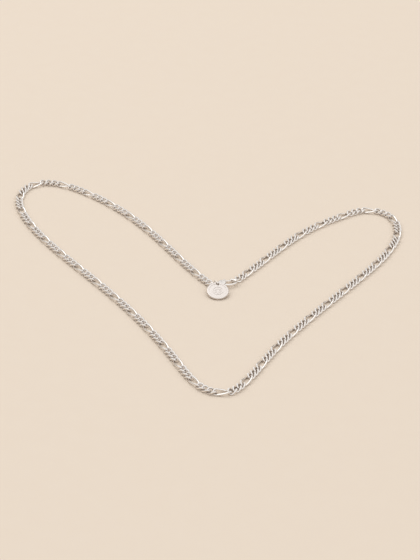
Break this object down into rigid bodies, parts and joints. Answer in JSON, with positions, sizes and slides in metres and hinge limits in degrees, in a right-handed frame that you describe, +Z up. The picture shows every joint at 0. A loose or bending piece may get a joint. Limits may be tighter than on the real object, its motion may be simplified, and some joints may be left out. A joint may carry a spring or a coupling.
{
  "type": "chain necklace",
  "caption": "Flattened figaro neck chain of twisted links with a lever-gate hook clasp and a small round tag, lying closed in a wide V.",
  "frame": {"origin": "middle of the necklace's outline, on the table it lies on", "axes": "+X across the V to the right, -Y towards the V's point, +Z up off the table"},
  "size_m": [0.1484, 0.1386, 0.0034],
  "materials": {
    "chain_silver": "polished, with diamond-cut flats on top and bottom",
    "ring_silver": "polished round wire",
    "clasp_silver": "polished casting",
    "tag_silver": "polished rim, softly sunk field",
    "steel": "bright"
  },
  "bodies": {
    "figaro_repeat_01": {"figaro_repeat_01": "chain_silver"},
    "figaro_repeat_02": {"figaro_repeat_02": "chain_silver"},
    "figaro_repeat_03": {"figaro_repeat_03": "chain_silver"},
    "figaro_repeat_04": {"figaro_repeat_04": "chain_silver"},
    "figaro_repeat_05": {"figaro_repeat_05": "chain_silver"},
    "figaro_repeat_06": {"figaro_repeat_06": "chain_silver"},
    "figaro_repeat_07": {"figaro_repeat_07": "chain_silver"},
    "figaro_repeat_08": {"figaro_repeat_08": "chain_silver"},
    "figaro_repeat_09": {"figaro_repeat_09": "chain_silver"},
    "figaro_repeat_10": {"figaro_repeat_10": "chain_silver"},
    "figaro_repeat_11": {"figaro_repeat_11": "chain_silver"},
    "figaro_repeat_12": {"figaro_repeat_12": "chain_silver"},
    "figaro_repeat_13": {"figaro_repeat_13": "chain_silver"},
    "figaro_repeat_14": {"figaro_repeat_14": "chain_silver"},
    "figaro_repeat_15": {"figaro_repeat_15": "chain_silver"},
    "figaro_repeat_16": {"figaro_repeat_16": "chain_silver"},
    "figaro_repeat_17": {"figaro_repeat_17": "chain_silver"},
    "figaro_repeat_18": {"figaro_repeat_18": "chain_silver"},
    "figaro_repeat_19": {"figaro_repeat_19": "chain_silver"},
    "figaro_repeat_20": {"figaro_repeat_20": "chain_silver"},
    "figaro_repeat_21": {"figaro_repeat_21": "chain_silver"},
    "figaro_repeat_22": {"figaro_repeat_22": "chain_silver"},
    "figaro_repeat_23": {"figaro_repeat_23": "chain_silver"},
    "figaro_repeat_24": {"figaro_repeat_24": "chain_silver"},
    "figaro_repeat_25": {"figaro_repeat_25": "chain_silver"},
    "figaro_repeat_26": {"figaro_repeat_26": "chain_silver"},
    "figaro_repeat_27": {"figaro_repeat_27": "chain_silver"},
    "figaro_repeat_28": {"figaro_repeat_28": "chain_silver"},
    "figaro_repeat_29": {"figaro_repeat_29": "chain_silver"},
    "figaro_repeat_30": {"figaro_repeat_30": "chain_silver"},
    "figaro_repeat_31": {"figaro_repeat_31": "chain_silver"},
    "figaro_repeat_32": {"figaro_repeat_32": "chain_silver"},
    "figaro_repeat_33": {"figaro_repeat_33": "chain_silver"},
    "figaro_repeat_34": {"figaro_repeat_34": "chain_silver"},
    "figaro_repeat_35": {"figaro_repeat_35": "chain_silver"},
    "figaro_repeat_36": {"figaro_repeat_36": "chain_silver"},
    "figaro_repeat_37": {"figaro_repeat_37": "chain_silver"},
    "figaro_repeat_38": {"figaro_repeat_38": "chain_silver"},
    "figaro_repeat_39": {"figaro_repeat_39": "chain_silver"},
    "figaro_repeat_40": {"figaro_repeat_40": "chain_silver"},
    "figaro_repeat_41": {"figaro_repeat_41": "chain_silver"},
    "figaro_repeat_42": {"figaro_repeat_42": "chain_silver"},
    "ring_end_links": {"ring_end_links": "chain_silver"},
    "end_ring": {"end_ring": "ring_silver"},
    "clasp_ring": {"clasp_ring": "ring_silver"},
    "clasp": {"clasp_body": "clasp_silver", "lever_pin": "steel", "lever_spring": "steel"},
    "clasp_lever": {"clasp_lever": "clasp_silver"},
    "tag_ring": {"tag_ring": "ring_silver"},
    "tag": {"tag_disc": "tag_silver"}
  },
  "joints": [
    {"name": "left_fold_21", "type": "hinge", "parent": "figaro_repeat_22", "child": "figaro_repeat_21", "pos_m": [-0.00584, -0.05462, 0.0007], "axis": [0.2896, 0.9571, 0.0089], "range_deg": [0, 4]},
    {"name": "left_fold_20", "type": "hinge", "parent": "figaro_repeat_21", "child": "figaro_repeat_20", "pos_m": [-0.01118, -0.04426, 0.0007], "axis": [-0.438, -0.8989, -0.0102], "range_deg": [-4, 0]},
    {"name": "left_fold_19", "type": "hinge", "parent": "figaro_repeat_20", "child": "figaro_repeat_19", "pos_m": [-0.01691, -0.03412, 0.0007], "axis": [0.6179, 0.7861, 0.0114], "range_deg": [0, 4]},
    {"name": "left_fold_18", "type": "hinge", "parent": "figaro_repeat_19", "child": "figaro_repeat_18", "pos_m": [-0.02311, -0.02424, 0.0007], "axis": [-0.7983, -0.6022, -0.0121], "range_deg": [-4, 0]},
    {"name": "left_fold_17", "type": "hinge", "parent": "figaro_repeat_18", "child": "figaro_repeat_17", "pos_m": [-0.02977, -0.01468, 0.0007], "axis": [0.929, 0.3698, 0.0118], "range_deg": [0, 4]},
    {"name": "left_fold_16", "type": "hinge", "parent": "figaro_repeat_17", "child": "figaro_repeat_16", "pos_m": [-0.03679, -0.00538, 0.0007], "axis": [-0.9895, -0.1442, -0.0107], "range_deg": [-4, 0]},
    {"name": "left_fold_15", "type": "hinge", "parent": "figaro_repeat_16", "child": "figaro_repeat_15", "pos_m": [-0.04403, 0.00376, 0.0007], "axis": [0.9992, -0.0388, 0.0094], "range_deg": [0, 4]},
    {"name": "left_fold_14", "type": "hinge", "parent": "figaro_repeat_15", "child": "figaro_repeat_14", "pos_m": [-0.05128, 0.01289, 0.0007], "axis": [-0.9841, 0.1776, -0.0082], "range_deg": [-4, 0]},
    {"name": "left_fold_13", "type": "hinge", "parent": "figaro_repeat_14", "child": "figaro_repeat_13", "pos_m": [-0.05826, 0.02222, 0.0007], "axis": [0.9587, -0.2845, 0.0072], "range_deg": [0, 4]},
    {"name": "left_fold_12", "type": "hinge", "parent": "figaro_repeat_13", "child": "figaro_repeat_12", "pos_m": [-0.06464, 0.03197, 0.0007], "axis": [-0.9283, 0.3717, -0.0064], "range_deg": [-4, 0]},
    {"name": "left_fold_11", "type": "hinge", "parent": "figaro_repeat_12", "child": "figaro_repeat_11", "pos_m": [-0.06984, 0.04239, 0.0007], "axis": [0.8932, -0.4496, 0.0057], "range_deg": [0, 4]},
    {"name": "left_fold_10", "type": "hinge", "parent": "figaro_repeat_11", "child": "figaro_repeat_10", "pos_m": [-0.07271, 0.05363, 0.0007], "axis": [-0.8499, 0.527, -0.0053], "range_deg": [-4, 0]},
    {"name": "left_fold_09", "type": "hinge", "parent": "figaro_repeat_10", "child": "figaro_repeat_09", "pos_m": [-0.06949, 0.06456, 0.0007], "axis": [0.7883, -0.6152, 0.0051], "range_deg": [0, 4]},
    {"name": "left_fold_08", "type": "hinge", "parent": "figaro_repeat_09", "child": "figaro_repeat_08", "pos_m": [-0.05879, 0.06731, 0.0007], "axis": [0.729, -0.6845, 0.0054], "range_deg": [-4, 0]},
    {"name": "left_fold_07", "type": "hinge", "parent": "figaro_repeat_08", "child": "figaro_repeat_07", "pos_m": [-0.04842, 0.06211, 0.0007], "axis": [-0.7017, 0.7124, -0.0061], "range_deg": [0, 4]},
    {"name": "left_fold_06", "type": "hinge", "parent": "figaro_repeat_07", "child": "figaro_repeat_06", "pos_m": [-0.03919, 0.05501, 0.0007], "axis": [0.6861, -0.7275, 0.0071], "range_deg": [-4, 0]},
    {"name": "left_fold_05", "type": "hinge", "parent": "figaro_repeat_06", "child": "figaro_repeat_05", "pos_m": [-0.03093, 0.0468, 0.0007], "axis": [-0.6817, 0.7316, -0.0084], "range_deg": [0, 4]},
    {"name": "left_fold_04", "type": "hinge", "parent": "figaro_repeat_05", "child": "figaro_repeat_04", "pos_m": [-0.0236, 0.03774, 0.0007], "axis": [0.6934, -0.7205, 0.0104], "range_deg": [-4, 0]},
    {"name": "left_fold_03", "type": "hinge", "parent": "figaro_repeat_04", "child": "figaro_repeat_03", "pos_m": [-0.017, 0.02813, 0.0007], "axis": [-0.7281, 0.6854, -0.0134], "range_deg": [0, 4]},
    {"name": "left_fold_02", "type": "hinge", "parent": "figaro_repeat_03", "child": "figaro_repeat_02", "pos_m": [-0.0108, 0.01827, 0.0007], "axis": [0.7968, -0.604, 0.0189], "range_deg": [-4, 0]},
    {"name": "left_fold_01", "type": "hinge", "parent": "figaro_repeat_02", "child": "figaro_repeat_01", "pos_m": [-0.00443, 0.0085, 0.0007], "axis": [-0.9144, 0.4036, -0.0305], "range_deg": [0, 4]},
    {"name": "right_fold_23", "type": "hinge", "parent": "figaro_repeat_22", "child": "figaro_repeat_23", "pos_m": [0.00025, -0.06452, 0.0007], "axis": [-0.1629, -0.9866, -0.0078], "range_deg": [0, 4]},
    {"name": "right_fold_24", "type": "hinge", "parent": "figaro_repeat_23", "child": "figaro_repeat_24", "pos_m": [0.01072, -0.06734, 0.0007], "axis": [0.0066, 0.9999, 0.0075], "range_deg": [-4, 0]},
    {"name": "right_fold_25", "type": "hinge", "parent": "figaro_repeat_24", "child": "figaro_repeat_25", "pos_m": [0.0174, -0.05796, 0.0007], "axis": [0.104, -0.9945, -0.0087], "range_deg": [0, 4]},
    {"name": "right_fold_26", "type": "hinge", "parent": "figaro_repeat_25", "child": "figaro_repeat_26", "pos_m": [0.0224, -0.04743, 0.0007], "axis": [-0.2232, 0.9747, 0.0103], "range_deg": [-4, 0]},
    {"name": "right_fold_27", "type": "hinge", "parent": "figaro_repeat_26", "child": "figaro_repeat_27", "pos_m": [0.02759, -0.03699, 0.0007], "axis": [0.3912, -0.9202, -0.0124], "range_deg": [0, 4]},
    {"name": "right_fold_28", "type": "hinge", "parent": "figaro_repeat_27", "child": "figaro_repeat_28", "pos_m": [0.03342, -0.02691, 0.0007], "axis": [-0.6151, 0.7883, 0.0144], "range_deg": [-4, 0]},
    {"name": "right_fold_29", "type": "hinge", "parent": "figaro_repeat_28", "child": "figaro_repeat_29", "pos_m": [0.03965, -0.01706, 0.0007], "axis": [0.8362, -0.5481, -0.0153], "range_deg": [0, 4]},
    {"name": "right_fold_30", "type": "hinge", "parent": "figaro_repeat_29", "child": "figaro_repeat_30", "pos_m": [0.04605, -0.00731, 0.0007], "axis": [-0.9687, 0.2479, 0.0144], "range_deg": [-4, 0]},
    {"name": "right_fold_31", "type": "hinge", "parent": "figaro_repeat_30", "child": "figaro_repeat_31", "pos_m": [0.05248, 0.00241, 0.0007], "axis": [0.9997, 0.0193, -0.0126], "range_deg": [0, 4]},
    {"name": "right_fold_32", "type": "hinge", "parent": "figaro_repeat_31", "child": "figaro_repeat_32", "pos_m": [0.0588, 0.0122, 0.0007], "axis": [-0.9761, -0.217, 0.0107], "range_deg": [-4, 0]},
    {"name": "right_fold_33", "type": "hinge", "parent": "figaro_repeat_32", "child": "figaro_repeat_33", "pos_m": [0.06479, 0.0222, 0.0007], "axis": [0.9335, 0.3585, -0.0091], "range_deg": [0, 4]},
    {"name": "right_fold_34", "type": "hinge", "parent": "figaro_repeat_33", "child": "figaro_repeat_34", "pos_m": [0.06979, 0.03272, 0.0007], "axis": [-0.8833, -0.4688, 0.0078], "range_deg": [-4, 0]},
    {"name": "right_fold_35", "type": "hinge", "parent": "figaro_repeat_34", "child": "figaro_repeat_35", "pos_m": [0.07257, 0.04399, 0.0007], "axis": [0.823, 0.5681, -0.007], "range_deg": [0, 4]},
    {"name": "right_fold_36", "type": "hinge", "parent": "figaro_repeat_35", "child": "figaro_repeat_36", "pos_m": [0.07032, 0.05522, 0.0007], "axis": [-0.741, -0.6715, 0.0065], "range_deg": [-4, 0]},
    {"name": "right_fold_37", "type": "hinge", "parent": "figaro_repeat_36", "child": "figaro_repeat_37", "pos_m": [0.06004, 0.05901, 0.0007], "axis": [0.6483, 0.7614, -0.0069], "range_deg": [0, 4]},
    {"name": "right_fold_38", "type": "hinge", "parent": "figaro_repeat_37", "child": "figaro_repeat_38", "pos_m": [0.05034, 0.05267, 0.0007], "axis": [-0.6087, -0.7934, 0.0081], "range_deg": [-4, 0]},
    {"name": "right_fold_39", "type": "hinge", "parent": "figaro_repeat_38", "child": "figaro_repeat_39", "pos_m": [0.04157, 0.04501, 0.0007], "axis": [0.5737, 0.819, -0.0098], "range_deg": [0, 4]},
    {"name": "right_fold_40", "type": "hinge", "parent": "figaro_repeat_39", "child": "figaro_repeat_40", "pos_m": [0.03392, 0.03623, 0.0007], "axis": [-0.5491, -0.8357, 0.0126], "range_deg": [-4, 0]},
    {"name": "right_fold_41", "type": "hinge", "parent": "figaro_repeat_40", "child": "figaro_repeat_41", "pos_m": [0.02728, 0.02665, 0.0007], "axis": [0.5409, 0.8409, -0.0175], "range_deg": [0, 4]},
    {"name": "right_fold_42", "type": "hinge", "parent": "figaro_repeat_41", "child": "figaro_repeat_42", "pos_m": [0.02102, 0.01682, 0.0007], "axis": [-0.5432, -0.8391, 0.0287], "range_deg": [-4, 0]},
    {"name": "right_fold_end", "type": "hinge", "parent": "figaro_repeat_42", "child": "ring_end_links", "pos_m": [0.01466, 0.00705, 0.0007], "axis": [0.538, 0.8391, -0.0802], "range_deg": [0, 4]},
    {"name": "clasp_ring_swing", "type": "hinge", "parent": "figaro_repeat_01", "child": "clasp_ring", "pos_m": [0.00265, -0.00075, 0.0007], "axis": [-0.962, -0.2665, -0.0587], "range_deg": [0, 3]},
    {"name": "clasp_roll", "type": "hinge", "parent": "clasp_ring", "child": "clasp", "pos_m": [0.00365, -0.00189, 0.00122], "axis": [0.9063, 0.4226, 0], "range_deg": [0, 3]},
    {"name": "end_ring_swing", "type": "hinge", "parent": "ring_end_links", "child": "end_ring", "pos_m": [0.01213, 0.00341, 0.0007], "axis": [0.456, 0.855, -0.247], "range_deg": [0, 3]},
    {"name": "lever_open", "type": "hinge", "parent": "clasp", "child": "clasp_lever", "pos_m": [0.00637, -0.00016, 0.00122], "axis": [0, 0, -1], "range_deg": [0, 18], "stiffness_Nm_per_rad": 0.01, "springref_deg": -11.46},
    {"name": "tag_ring_swing", "type": "hinge", "parent": "clasp_ring", "child": "tag_ring", "pos_m": [0.00425, -0.0021, 0.00129], "axis": [0, 0, 1], "range_deg": [-8, 5]},
    {"name": "tag_lift", "type": "hinge", "parent": "tag_ring", "child": "tag", "pos_m": [0.00444, -0.00233, 0.00199], "axis": [-0.757, -0.6534, 0], "range_deg": [0, 45]}
  ]
}
